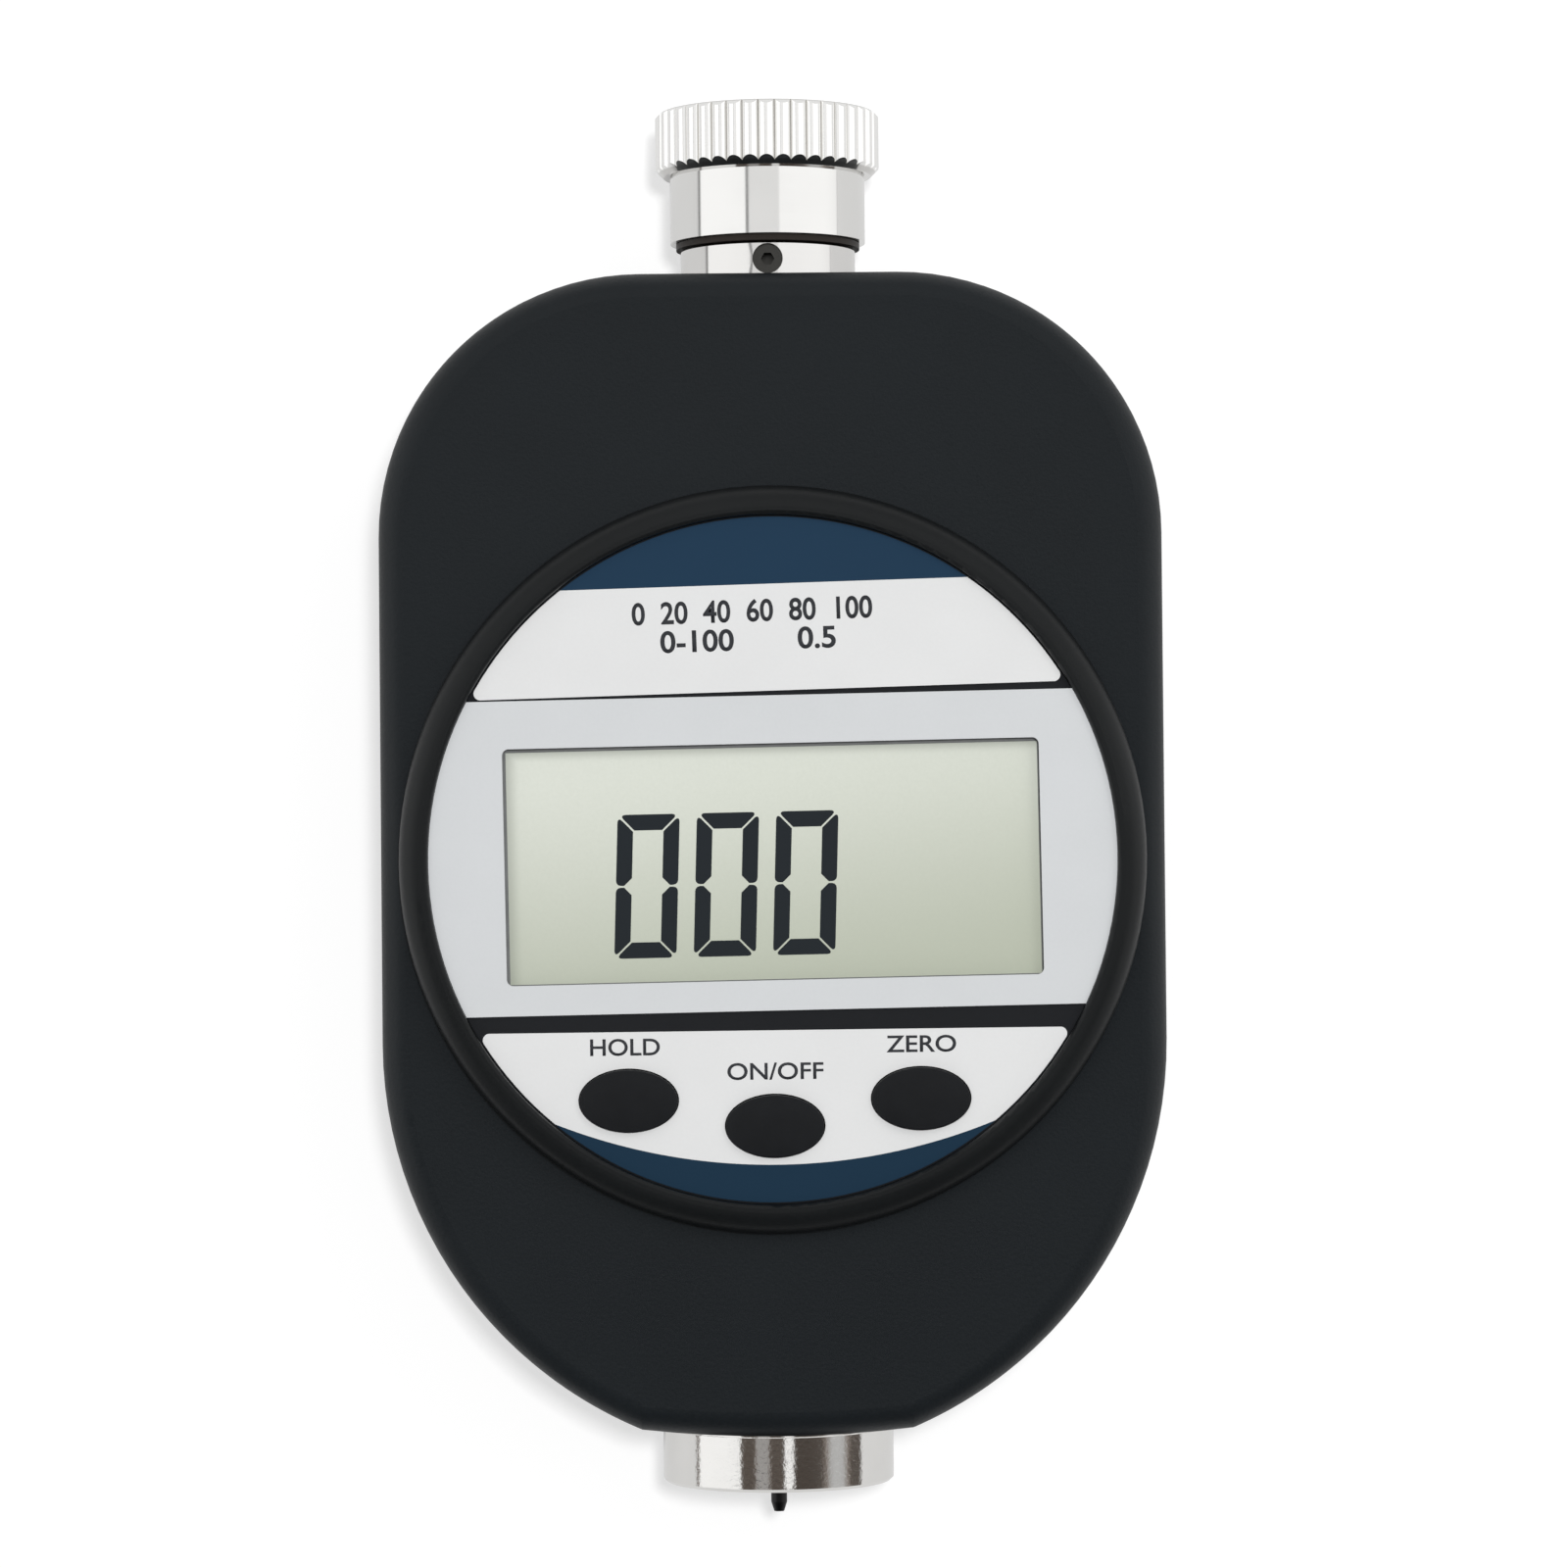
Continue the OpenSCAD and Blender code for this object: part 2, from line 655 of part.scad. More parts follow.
// Ring round the face, with the skirt and ledge that hold the dial plate and the board
module dial_ring() color("#232629") {
    difference() {
        union() {
            rotate_extrude() {
                translate([face_r, case_t]) square([ring_rim, ring_rise - shoulder_r]);
                translate([face_r + ring_lip_round, case_t])
                    square([ring_rim - shoulder_r - ring_lip_round, ring_rise]);
                translate([face_r, case_t])
                    square([ring_lip_round, ring_rise - ring_lip_round]);
                translate([face_r + ring_lip_round, ring_top - ring_lip_round]) circle(ring_lip_round);
                translate([ring_r - shoulder_r, ring_top - shoulder_r]) intersection() {
                    circle(shoulder_r);
                    square(shoulder_r);
                }
                translate([ledge_r, board_top]) square([skirt_r - ledge_r, plate_low - board_top]);
                translate([face_r, board_low]) square([skirt_r - face_r, case_t - board_low]);
            }
            translate([0, 0, board_top]) round_pattern(board_screw_ring, board_screw_angles)
                cylinder(h = plate_low - board_top, d = board_boss_d);
        }
        translate([0, 0, board_top]) round_pattern(board_screw_ring, board_screw_angles)
            translate([0, 0, -over])
                cylinder(h = board_screw_grip + over, d = board_screw_d + 2 * press_gap);
    }
}

// Dark plate inside the ring, with the display opening and the key holes
module dial_plate() color("#1d2733") translate([0, 0, plate_low]) linear_extrude(plate_t) difference() {
    circle(plate_r);
    at_window() square([window_w + 2 * window_step, window_h + 2 * window_step], center = true);
    for (place = key_places) translate(place) oval(key_gap);
}

// Pale grey panel across the face, with the display window
module display_panel() color("#d6d8d9") translate([0, 0, plate_top]) linear_extrude(panel_t) difference() {
    intersection() {
        circle(plate_r);
        rotate(panel_turn) translate([-face_r, -panel_lower]) square([face_d, panel_lower + panel_upper]);
    }
    at_window() round_rect(window_w, window_h, window_corner);
}

// Blue and white label above the panel
module upper_label() color("#2a4058") translate([0, 0, plate_top])
    linear_extrude(label_t) rotate(upper_label_turn) label_outline(upper_label_edge);

// White and blue label round the keys
module lower_label() color("#e4e4e4") translate([0, 0, plate_top]) linear_extrude(label_t) difference() {
    rotate(180 + lower_label_turn) label_outline(lower_label_edge);
    for (place = key_places) translate(place) oval(key_gap);
}

// Display glass
module lcd_panel() color("#c3c8b8") translate([0, 0, lcd_low])
    linear_extrude(lcd_t) at_window() square([lcd_w, lcd_h], center = true);

// Two rubber connector strips between the board and the display
module zebra_strips() color("#b9848c") translate([0, 0, board_top]) linear_extrude(zebra_h)
    at_window() for (side = [-1, 1])
        translate([0, side * (lcd_h - zebra_w) / 2])
            square([lcd_w - 2 * zebra_inset, zebra_w], center = true);

// Round circuit board
module circuit_board() color("#2f6b45") translate([0, 0, board_low]) linear_extrude(board_t) difference() {
    circle(plate_r);
    round_pattern(board_screw_ring, board_screw_angles) circle(d = board_screw_d + 2 * press_gap);
}

// Controller chip on the back of the board
module controller_chip() color("#202224") translate([-chip_x, chip_y, board_low - chip_h])
    linear_extrude(chip_h) square([chip_w, chip_w], center = true);

// Screws that hold the board in the ring
module board_screws() color("#9b9ea1") translate([0, 0, board_low])
    round_pattern(board_screw_ring, board_screw_angles) {
        cylinder(h = board_t + board_screw_grip - press_gap, d = board_screw_d);
        translate([0, 0, -board_screw_head_h]) cylinder(h = board_screw_head_h, d = board_screw_head_d);
    }

// One rubber key: crowned head, flange under the plate, stem over its dome
module key(place) {
    key_top = label_top + key_proud;
    flange_top = plate_low - seat_gap;
    flange_low = flange_top - key_flange_t;
    stem_low = board_top + dome_h + key_travel + seat_gap;
    translate(place) {
        intersection() {
            translate([0, 0, flange_low]) linear_extrude(key_top - flange_low + over) oval(0);
            translate([0, key_h, key_top - key_crown_r]) rotate([90, 0, 0])
                cylinder(h = 2 * key_h, r = key_crown_r);
        }
        translate([0, 0, flange_low]) linear_extrude(key_flange_t) oval(key_flange);
        translate([0, 0, stem_low]) cylinder(h = flange_low + key_flange_t / 2 - stem_low, d = key_stem_d);
    }
}

module hold_key() color("#26282a") key(key_places[0]);

module power_key() color("#26282a") key(key_places[1]);

module zero_key() color("#26282a") key(key_places[2]);

// Three snap domes on the board
module key_domes() color("#b8babb") translate([0, 0, board_top]) for (place = key_places)
    translate(place) cylinder(h = dome_h, d1 = dome_d, d2 = key_stem_d);

// Reading half of the displacement sensor, on the back of the board
module sensor_plate() color("#3b7a4f") translate([-sensor_w / 2, -sensor_len / 2, sensor_low])
    cube([sensor_w, sensor_len, sensor_t]);

// Moving half of the sensor
module scale_strip() color("#c9a54a") translate([-strip_w / 2, -carrier_half, carrier_top])
    cube([strip_w, carrier_len, strip_t]);

// Block on the spindle that carries the scale strip and runs on the guide rod
module scale_carrier() color("#b9bcbf") {
    difference() {
        union() {
            axis_rod(-carrier_half, carrier_half, carrier_hub_d / 2);
            translate([-strip_w / 2, -carrier_half, axis_z])
                cube([strip_w, carrier_len, carrier_top - axis_z]);
            translate([-guide_x, -carrier_arm_len / 2, axis_z - carrier_arm_t / 2])
                cube([guide_x, carrier_arm_len, carrier_arm_t]);
            translate([-guide_x, 0, 0])
                axis_rod(-carrier_arm_len / 2, carrier_arm_len / 2, carrier_arm_t / 2);
        }
        axis_rod(-carrier_half - over, carrier_half + over, spindle_r + press_gap);
        translate([-guide_x, 0, 0])
            axis_rod(-carrier_arm_len / 2 - over, carrier_arm_len / 2 + over, guide_d / 2 + run_gap);
    }
}

// Ground rod that carries the indenter
module spindle() color("#c4c7c9") difference() {
    axis_rod(spindle_low, spindle_top, spindle_r);
    axis_rod(spindle_low - over, indenter_top + press_gap, indenter_d / 2 + press_gap);
}

// Hardened point with a cut-off cone
module indenter() color("#6f7275") {
    cone_h = (indenter_d - indenter_tip_d) / 2 / tan(indenter_cone / 2);
    turned(indenter_tip, [
        [0, 0], [indenter_tip_d / 2, 0], [indenter_d / 2, cone_h],
        [indenter_d / 2, indenter_top - indenter_tip], [0, indenter_top - indenter_tip]
    ]);
}

// Collar that stops the spindle on the foot
module stop_collar() color("#a7aaad")
    axis_tube(collar_low, collar_low + collar_len, collar_d / 2, spindle_r + press_gap);

// Rod beside the spindle that keeps the carrier from turning
module guide_rod() color("#b4b7ba") translate([-guide_x, 0, 0])
    axis_rod(foot_top - guide_grip, neck_low + guide_grip, guide_d / 2);

// Measuring spring: a round wire swept along a helix
module main_spring() color("#8f9296") {
    steps = 14;
    sides = 6;
    rings = spring_turns * steps;
    rise = spring_len - wire_d - 2 * seat_gap;
    wire = [for (i = [0 : rings]) for (k = [0 : sides - 1])
        let (
            turn = 360 * i / steps,
            round = 360 * k / sides,
            r = spring_r + wire_d / 2 * cos(round),
            h = seat_gap + wire_d / 2 + rise * i / rings + wire_d / 2 * sin(round)
        ) [r * cos(turn), r * sin(turn), h]];
    walls = [for (i = [0 : rings - 1]) for (k = [0 : sides - 1])
        let (next = (k + 1) % sides)
        [i * sides + k, i * sides + next, (i + 1) * sides + next, (i + 1) * sides + k]];
    first_end = [[for (k = [0 : sides - 1]) sides - 1 - k]];
    last_end = [[for (k = [0 : sides - 1]) rings * sides + k]];
    on_axis(spring_low) polyhedron(points = wire, faces = concat(walls, first_end, last_end));
}

// Slotted plug in the neck that sets the spring and holds the upper bush
module spring_adjuster() color("#b08d4a") difference() {
    axis_rod(adjuster_low, adjuster_top, adjuster_r);
    axis_rod(adjuster_low - over, adjuster_top + over, spindle_r + spring_air / 2);
    axis_rod(upper_bush_top - bush_len, adjuster_top + over, bush_r + press_gap);
    translate([-neck_d / 2, upper_bush_top, axis_z - adjuster_slot_w / 2])
        cube([neck_d, adjuster_slot_depth + over, adjuster_slot_w]);
}

// Bronze bushes that guide the spindle
module upper_bush() color("#b98a4b")
    axis_tube(upper_bush_top - bush_len, upper_bush_top, bush_r, spindle_r + run_gap);

module lower_bush() color("#b98a4b")
    axis_tube(foot_top - bush_len, foot_top, bush_r, spindle_r + run_gap);

// Turned foot that rests on the specimen
module presser_foot() color("#d9dbdc") {
    rim_h = foot_rim_top - foot_low;
    seat_h = foot_seat_y - foot_low;
    top_h = foot_top - foot_low;
    turned(foot_low, [
        [foot_hole_d / 2, 0], [foot_r - foot_chamfer, 0], [foot_r, foot_chamfer],
        [foot_r, rim_h], [register_r, rim_h], [register_r, seat_h],
        [foot_spigot_d / 2, seat_h], [foot_spigot_d / 2, top_h],
        [bush_r + press_gap, top_h], [bush_r + press_gap, foot_web], [foot_hole_d / 2, foot_web]
    ]);
}

// Turned neck: spigot in the case, bright collar, threaded stem
module neck() color("#d4d6d8") difference() {
    bore_r = neck_bore_d / 2;
    turned(neck_low, [
        [bore_r, 0], [neck_spigot_d / 2, 0], [neck_spigot_d / 2, neck_block], [neck_d / 2, neck_block],
        [neck_d / 2, shoulder - neck_low - neck_chamfer], [neck_d / 2 - neck_chamfer, shoulder - neck_low],
        [stem_d / 2, shoulder - neck_low], [stem_d / 2, stem_top - neck_low], [bore_r, stem_top - neck_low]
    ]);
    translate([0, grub_y, axis_z]) cylinder(h = neck_d, d = grub_d + 2 * press_gap);
}

// Black grub screw that locks the spring adjuster
module neck_set_screw() color("#1b1c1e") {
    grub_low = axis_z + adjuster_r + press_gap;
    grub_top = axis_z + neck_d / 2 - grub_sink;
    translate([0, grub_y, 0]) difference() {
        translate([0, 0, grub_low]) cylinder(h = grub_top - grub_low, d = grub_d);
        translate([0, 0, grub_top - grub_socket_depth])
            cylinder(h = grub_socket_depth + over, d = grub_socket / cos(30), $fn = 6);
    }
}

// Dark washer that rides under the knob
module knob_washer() color("#2b2522")
    axis_tube(shoulder + seat_gap, knob_low - seat_gap, washer_d / 2, stem_d / 2 + run_gap);

// Bright screw cap: smooth skirt and fluted head
module knob() color("#dcdedf") {
    knob_r = knob_d / 2;
    rib_ring = knob_r - knob_rib_r;
    smooth_r = knob_skirt_d / 2;
    groove_r = smooth_r - knob_undercut;
    groove_h = knob_skirt_h - knob_undercut_h;
    middle_h = knob_skirt_h + knob_head_h / 2;
    difference() {
        on_axis(knob_low) {
            rotate_extrude() polygon([
                [0, 0], [smooth_r, 0], [smooth_r, groove_h], [groove_r, groove_h], [groove_r, middle_h], [0, middle_h]
            ]);
            translate([0, 0, knob_skirt_h]) intersection() {
                linear_extrude(knob_head_h) {
                    circle(rib_ring);
                    for (i = [0 : knob_ribs - 1]) rotate(360 * i / knob_ribs)
                        translate([0, rib_ring]) circle(knob_rib_r, $fn = 32);
                }
                rotate_extrude() polygon([
                    [0, -over], [knob_r - knob_low_bevel - over, -over], [knob_r + over, knob_low_bevel + over],
                    [knob_r + over, knob_head_h - knob_top_bevel - over],
                    [knob_r - knob_top_bevel - over, knob_head_h + over], [0, knob_head_h + over]
                ]);
            }
        }
        axis_rod(knob_low - over, stem_top + knob_air, stem_d / 2 + run_gap);
    }
}

// Button cell: can and raised button
module battery_cell() color("#c8cacc") translate([cell_x, 0, cell_low]) {
    cylinder(h = cell_t - cell_button_h, r = cell_r);
    cylinder(h = cell_t, r = cell_r - cell_button_step);
}

// Contact strip over the cell, bent up to the board
module battery_contact() color("#c7a24c") translate([cell_x, 0, cup_top]) {
    cylinder(h = contact_t, r = channel_r);
    translate([0, -contact_w / 2, 0]) cube([channel_r + contact_t, contact_w, contact_t]);
    translate([channel_r, -contact_w / 2, 0]) cube([contact_t, contact_w, board_low - cup_top]);
}

// Cap over the cell, turned by a coin and held by two lugs
module battery_cap() color("#2d3033") translate([cell_x, 0, 0]) difference() {
    union() {
        translate([0, 0, cap_sink]) cylinder(h = cap_disc_top - cap_sink, r = cap_r);
        translate([0, 0, cap_sink]) cylinder(h = cap_top - cap_sink, r = cap_neck_r);
        translate([0, 0, lug_low]) for (turn = [0, 180]) rotate(turn - lug_angle / 2)
            rotate_extrude(angle = lug_angle)
                translate([cap_neck_r / 2, 0]) square([lug_r - cap_neck_r / 2, lug_t]);
    }
    translate([-coin_slot_len / 2, -coin_slot_w / 2, cap_sink - over])
        cube([coin_slot_len, coin_slot_w, coin_slot_depth + over]);
}

// Rubber ring under the rim of the battery cap
module battery_seal() color("#1a1a1a") translate([cell_x, 0, cap_disc_top]) difference() {
    cylinder(h = seal_t, r = cap_r - cap_gap);
    translate([0, 0, -over]) cylinder(h = seal_t + 2 * over, r = cap_r - cap_gap - seal_w);
}

case();
back_cover();
cover_screws();
dial_ring();
dial_plate();
display_panel();
upper_label();
lower_label();
lcd_panel();
zebra_strips();
circuit_board();
controller_chip();
board_screws();
hold_key();
power_key();
zero_key();
key_domes();
sensor_plate();
scale_strip();
scale_carrier();
spindle();
indenter();
stop_collar();
guide_rod();
main_spring();
spring_adjuster();
upper_bush();
lower_bush();
presser_foot();
neck();
neck_set_screw();
knob_washer();
knob();
battery_cell();
battery_contact();
battery_cap();
battery_seal();
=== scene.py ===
# Looks of the digital durometer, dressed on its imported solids.
# Metres, in the frame of the part: +X right of the face, +Y towards the knob, +Z out of the face.
import json
import math

import bpy
from mathutils import Matrix, Vector


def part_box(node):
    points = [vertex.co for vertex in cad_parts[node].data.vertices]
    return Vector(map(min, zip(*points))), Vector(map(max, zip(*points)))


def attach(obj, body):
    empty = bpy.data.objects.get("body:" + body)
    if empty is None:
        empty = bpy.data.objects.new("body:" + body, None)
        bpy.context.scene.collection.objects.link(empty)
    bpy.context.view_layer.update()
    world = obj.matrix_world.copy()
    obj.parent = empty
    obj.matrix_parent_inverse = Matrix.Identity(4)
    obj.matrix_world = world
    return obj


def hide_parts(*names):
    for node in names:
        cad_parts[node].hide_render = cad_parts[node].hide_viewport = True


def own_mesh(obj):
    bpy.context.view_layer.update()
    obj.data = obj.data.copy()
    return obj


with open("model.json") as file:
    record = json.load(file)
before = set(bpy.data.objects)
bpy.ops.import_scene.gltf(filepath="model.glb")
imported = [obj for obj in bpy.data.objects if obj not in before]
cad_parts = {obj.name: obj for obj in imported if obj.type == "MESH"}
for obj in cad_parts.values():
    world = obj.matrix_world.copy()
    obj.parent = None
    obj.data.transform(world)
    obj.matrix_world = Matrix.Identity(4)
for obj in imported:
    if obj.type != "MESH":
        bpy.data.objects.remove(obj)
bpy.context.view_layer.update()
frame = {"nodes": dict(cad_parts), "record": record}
nodes = frame["nodes"]
for plain in list(bpy.data.materials):
    bpy.data.materials.remove(plain)

MM = 0.001
# Thickness of a printed field or letter
PRINT = 0.012 * MM
# Heights of the printed faces
LABEL_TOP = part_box("lower_label")[1].z
DISPLAY_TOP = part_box("lcd_panel")[1].z
# Turns of the labels and of the display as they were laid
UPPER_TURN = math.radians(1.4)
LOWER_TURN = math.radians(0.2)
DISPLAY_TURN = math.radians(0.8)


# Material maths


class Paint:
    """A socket in a material's tree. Sums on it add Math nodes."""

    def __init__(self, tree, socket=None):
        self.tree = tree
        self.socket = socket

    def node(self, kind, values=None, output=0, **settings):
        made = self.tree.nodes.new("ShaderNode" + kind)
        for name, setting in settings.items():
            setattr(made, name, setting)
        for key, value in (values or {}).items():
            if isinstance(value, Paint):
                self.tree.links.new(value.socket, made.inputs[key])
            else:
                made.inputs[key].default_value = value
        return Paint(self.tree, made.outputs[output] if made.outputs else None)

    def math(self, operation, first, second=0.0):
        return self.node("Math", {0: first, 1: second}, operation=operation)

    def __add__(self, other):
        return self.math("ADD", self, other)

    def __radd__(self, other):
        return self.math("ADD", other, self)

    def __sub__(self, other):
        return self.math("SUBTRACT", self, other)

    def __rsub__(self, other):
        return self.math("SUBTRACT", other, self)

    def __mul__(self, other):
        return self.math("MULTIPLY", self, other)

    def __rmul__(self, other):
        return self.math("MULTIPLY", other, self)

    def band(self, low, high):
        """Rises smoothly from 0 at low to 1 at high."""
        values = {"Value": self, "From Min": low, "From Max": high}
        return self.node("MapRange", values, interpolation_type="SMOOTHSTEP")

    def between(self, low, high, soft):
        return self.band(low - soft, low + soft) * (1 - self.band(high - soft, high + soft))

    def axes(self):
        """The three parts of a vector."""
        split = self.node("SeparateXYZ", {0: self})
        outputs = split.socket.node.outputs
        return [Paint(self.tree, outputs[i]) for i in range(3)]


def rgb(colour):
    return (*colour, 1)


class Finish:
    """One procedural material."""

    def __init__(self, name, colour, roughness, metallic=0.0, **constants):
        self.material = bpy.data.materials.new(name)
        self.material.use_nodes = True
        self.tree = self.material.node_tree
        self.shader = self.tree.nodes["Principled BSDF"]
        self.colour = colour
        self.roughness = roughness
        self.set("Base Color", rgb(colour))
        self.set("Roughness", roughness)
        self.set("Metallic", metallic)
        for socket, value in constants.items():
            self.set(socket.replace("_", " ").title().replace("Ior", "IOR"), value)
        self.place = Paint(self.tree).node("TexCoord", output="Object")

    def set(self, socket, value):
        if isinstance(value, Paint):
            self.tree.links.new(value.socket, self.shader.inputs[socket])
        else:
            self.shader.inputs[socket].default_value = value

    def noise(self, size, detail=2.0, stretch=(1, 1, 1)):
        """Noise from 0 to 1 with spots of about that size in millimetres."""
        spread = self.place.node("Mapping", {"Vector": self.place, "Scale": stretch})
        values = {"Vector": spread, "Scale": 1 / (size * MM), "Detail": detail}
        return self.place.node("TexNoise", values)

    def mix(self, factor, first, second):
        values = {0: factor, 6: first, 7: second}
        return self.place.node("Mix", values, output=2, data_type="RGBA")

    def shade(self, factor, low, high):
        """Base colour from a darker to a lighter tone of itself."""
        dark = rgb([low * part for part in self.colour])
        light = rgb([high * part for part in self.colour])
        self.set("Base Color", self.mix(factor, dark, light))

    def grain(self, factor, spread):
        self.set("Roughness", self.roughness - spread / 2 + spread * factor)

    def bump(self, height, depth):
        """Relief of that depth in millimetres."""
        values = {"Height": height, "Distance": depth * MM, "Strength": 1.0}
        self.set("Normal", self.place.node("Bump", values))


def moulded(name, colour, roughness, grain, depth):
    """Moulded plastic with a fine eroded grain."""
    made = Finish(name, colour, roughness, specular_ior_level=0.38)
    fine = made.noise(grain, 3)
    broad = made.noise(9, 2)
    made.shade(fine * 0.5 + broad * 0.5, 0.72, 1.28)
    made.grain(fine * 0.6 + broad * 0.4, 0.22)
    made.bump(fine + 0.15 * made.noise(4 * grain, 1), depth)
    return made


def printed(name, colour, roughness):
    """Printed film: smooth, with the slight unevenness of the sheet."""
    made = Finish(name, colour, roughness, specular_ior_level=0.25)
    cloud = made.noise(5, 3)
    dust = made.noise(0.25, 2)
    made.shade(cloud * 0.6 + dust * 0.4, 0.95, 1.04)
    made.grain(dust, 0.12)
    made.bump(dust * 0.6 + cloud * 0.4, 0.004)
    return made


def plated(name, colour, roughness, wear, pits=0.0):
    """Polished plating with faint turning lines round the measuring axis, and pits from use."""
    made = Finish(name, colour, roughness, metallic=1.0)
    lines = made.noise(0.25, 2, (0.02, 1, 0.02))
    haze = made.noise(3, 3)
    made.shade(haze, 1 - wear, 1 + wear / 3)
    made.grain(lines * 0.4 + haze * 0.6, roughness)
    made.bump(lines * 0.0006 + made.noise(0.3, 4) * pits, 1)
    return made


def knob_finish():
    """Bright plating, with painted highlight on the flute ridges of the head and painted shade in
    the grooves between them.
    """
    made = Finish("knob_chrome", (0.80, 0.795, 0.78), 0.09, metallic=1.0)
    x, y, z = made.place.axes()
    low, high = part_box("knob")
    head_h, blend = 4.95 * MM, 0.05 * MM
    flute_low = high.y - head_h
    fluted = y.band(flute_low - blend, flute_low + blend)
    off_axis = z - (low.z + high.z) / 2
    radius = x.math("SQRT", x * x + off_axis * off_axis)
    # Painted shade in the flute grooves, painted highlight on the ridges between them
    groove_shade = radius.band(high.x - 0.2 * MM, high.x - 0.34 * MM)
    flute = made.mix(groove_shade, rgb((0.95, 0.945, 0.93)), rgb((0.64, 0.63, 0.61)))
    tone = made.mix(fluted, rgb(made.colour), flute)
    lines = made.noise(0.25, 2, (0.02, 1, 0.02))
    haze = made.noise(3, 3)
    made.set("Base Color", made.mix(haze * 0.1, tone, rgb((0.66, 0.65, 0.63))))
    made.grain(lines * 0.4 + haze * 0.6, made.roughness)
    made.bump(lines * 0.0006, 1)
    return made


def turned(name, colour, roughness, depth, stretch=(0.03, 1, 0.03)):
    """Machined metal with visible tool lines."""
    made = Finish(name, colour, roughness, metallic=1.0)
    lines = made.noise(0.18, 3, stretch)
    stain = made.noise(4, 3)
    made.shade(lines * 0.5 + stain * 0.5, 0.82, 1.12)
    made.grain(lines, 0.18)
    made.bump(lines, depth)
    return made


def rubber(name, colour, roughness):
    """Silicone rubber: matt, with a fine skin."""
    made = Finish(name, colour, roughness, specular_ior_level=0.25)
    skin = made.noise(0.2, 3)
    dust = made.noise(1.6, 4)
    made.shade(dust * 0.7 + skin * 0.3, 0.75, 1.35)
    made.grain(skin * 0.5 + dust * 0.5, 0.2)
    made.bump(skin, 0.006)
    return made


def display_finish():
    """Reflective display: grey-green, with painted light that makes it paler towards its upper left,
    painted shadow under the rim of the window, and a sparkling reflector.
    """
    made = Finish("display_glass", (0.55, 0.585, 0.49), 0.4, specular_ior_level=0.25)
    x, y = made.place.axes()[:2]
    # Painted light: paler towards the upper left, darker towards the lower right
    painted_light_half_width = 13 * MM
    rise = (y - x * 0.16).band(-painted_light_half_width, painted_light_half_width)
    painted_light_tone = made.mix(rise, rgb((0.465, 0.495, 0.405)), rgb((0.725, 0.75, 0.683)))
    # Painted shadow of the window's rim: darker along the left and the upper edge
    lean = math.tan(DISPLAY_TURN)
    left = (x + y * lean).band(-19.1 * MM, -20.3 * MM)
    top_rim_shadow = (y - x * lean).band(7.7 * MM, 8.7 * MM)
    painted_rim_shadow = left.math("MAXIMUM", left, top_rim_shadow)
    rim_shaded_tone = made.mix(painted_rim_shadow * 0.4, painted_light_tone, rgb((0.25, 0.27, 0.23)))
    sparkle = made.noise(0.22, 2)
    made.set("Base Color", made.mix(sparkle * 0.16, rim_shaded_tone, rgb((0.38, 0.41, 0.33))))
    made.grain(sparkle, 0.2)
    made.bump(sparkle, 0.002)
    return made


def board_finish():
    """Solder mask with the paler lines of the tracks under it."""
    made = Finish("board_green", (0.03, 0.15, 0.06), 0.38)
    lane = made.noise(1.4, 0, (0.12, 1, 1))
    tracks = lane.between(0.46, 0.54, 0.015)
    made.set("Base Color", made.mix(tracks, rgb((0.025, 0.13, 0.05)), rgb((0.06, 0.24, 0.10))))
    made.grain(tracks, 0.12)
    made.bump(tracks, 0.03)
    return made


def zebra_finish():
    """Connector rubber: thin dark and pink layers side by side."""
    made = Finish("zebra_rubber", (0.48, 0.23, 0.26), 0.55)
    x = made.place.axes()[0]
    pitch = 0.36 * MM
    layer = x.math("SINE", x * (2 * math.pi / pitch))
    dark = layer.band(-0.2, 0.2)
    made.set("Base Color", made.mix(dark, rgb((0.55, 0.27, 0.30)), rgb((0.03, 0.025, 0.026))))
    made.bump(made.noise(0.2, 2), 0.004)
    return made


def strip_finish():
    """Scale strip: gilt bars on a dark carrier, across the measuring axis."""
    made = Finish("strip_gold", (0.58, 0.38, 0.09), 0.3)
    x, y = made.place.axes()[:2]
    pitch, half_bar = 2.5 * MM, 3.4 * MM
    wave = x.math("SINE", y * (2 * math.pi / pitch))
    rows = x.between(-half_bar, half_bar, 0.05 * MM)
    bars = wave.band(-0.06, 0.06) * rows
    made.set("Base Color", made.mix(bars, rgb((0.03, 0.12, 0.05)), rgb(made.colour)))
    made.set("Metallic", bars)
    made.bump(bars, 0.02)
    return made


